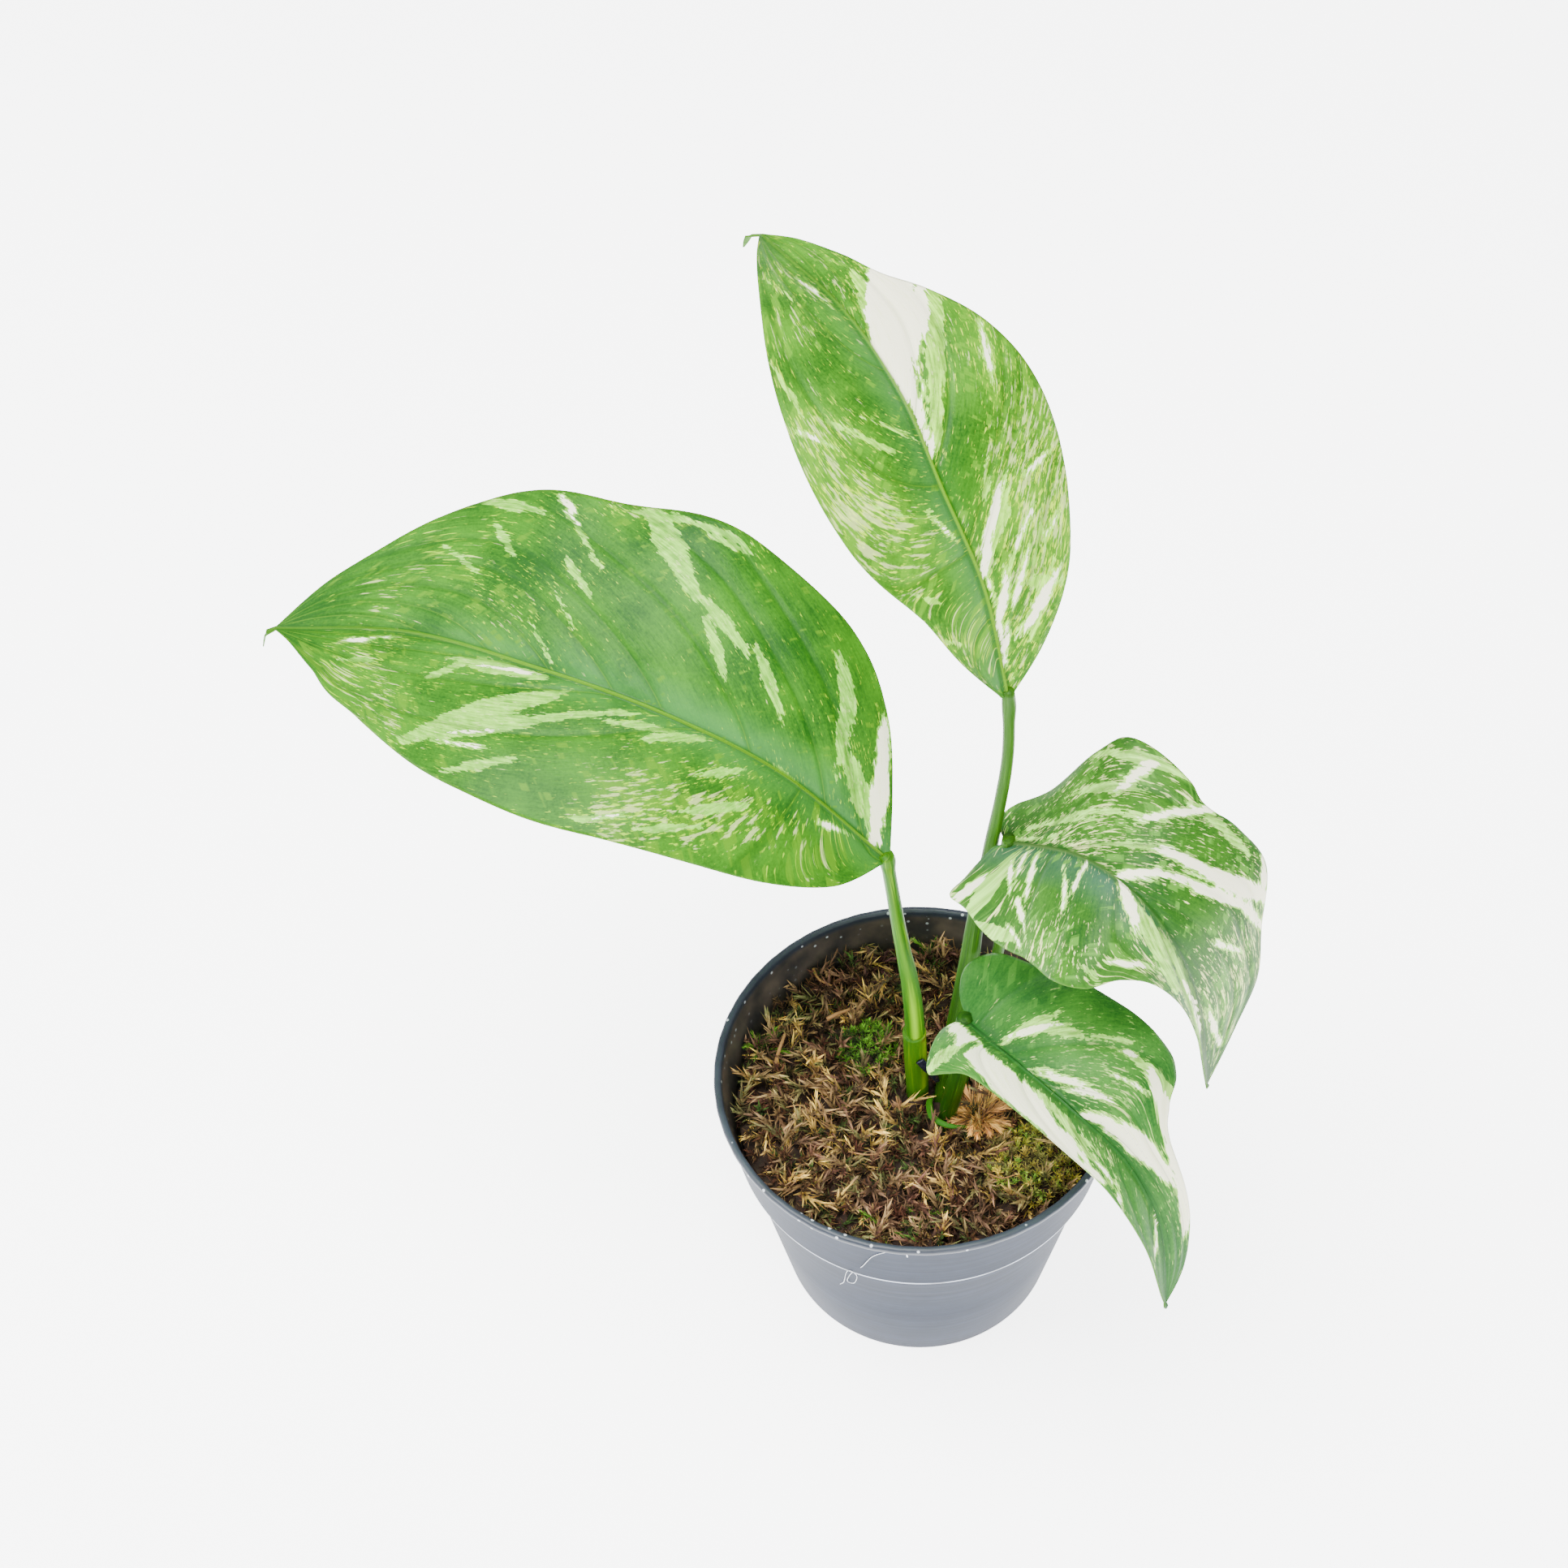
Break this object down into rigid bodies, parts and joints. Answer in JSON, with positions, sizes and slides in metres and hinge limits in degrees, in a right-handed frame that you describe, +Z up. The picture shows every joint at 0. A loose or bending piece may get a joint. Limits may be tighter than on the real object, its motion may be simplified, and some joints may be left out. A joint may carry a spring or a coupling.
{
  "type": "potted variegated monstera lechleriana",
  "caption": "Young variegated climbing aroid with oval streaked leaves on long petioles, growing from moss in a round plastic nursery pot.",
  "frame": {"origin": "centre of the pot's base, on the surface it stands on", "axes": "+Z up; -Y towards the picture's viewer; +X to the viewer's right, so the largest leaf reaches towards -X"},
  "size_m": [0.2731, 0.1861, 0.3146],
  "materials": {
    "pot_plastic": "injection-moulded polypropylene, satin",
    "potting_mix": "moist bark and peat, rough",
    "dry_moss": "shaggy dried moss, matt",
    "green_moss": "living moss, matt",
    "petiole_green": "smooth plant stem, satin",
    "leaf_blade": "waxy green leaf with pale sectors, satin",
    "leaf_blade_pale": "waxy leaf, half white and half green, satin",
    "tie_plastic": "thin blue-black plastic strip"
  },
  "bodies": {
    "root": {"pot": "pot_plastic", "growing_medium": "potting_mix", "moss_bed": "dry_moss", "moss_cushion_left": "green_moss", "moss_cushion_right": "green_moss", "stem": "petiole_green", "petiole_left": "petiole_green", "petiole_upper": "petiole_green", "petiole_right": "petiole_green", "petiole_front": "petiole_green", "leaf_left": "leaf_blade", "leaf_upper": "leaf_blade", "leaf_right": "leaf_blade_pale", "leaf_front": "leaf_blade_pale", "cataphyll": "petiole_green", "tie_strip": "tie_plastic"}
  },
  "joints": []
}
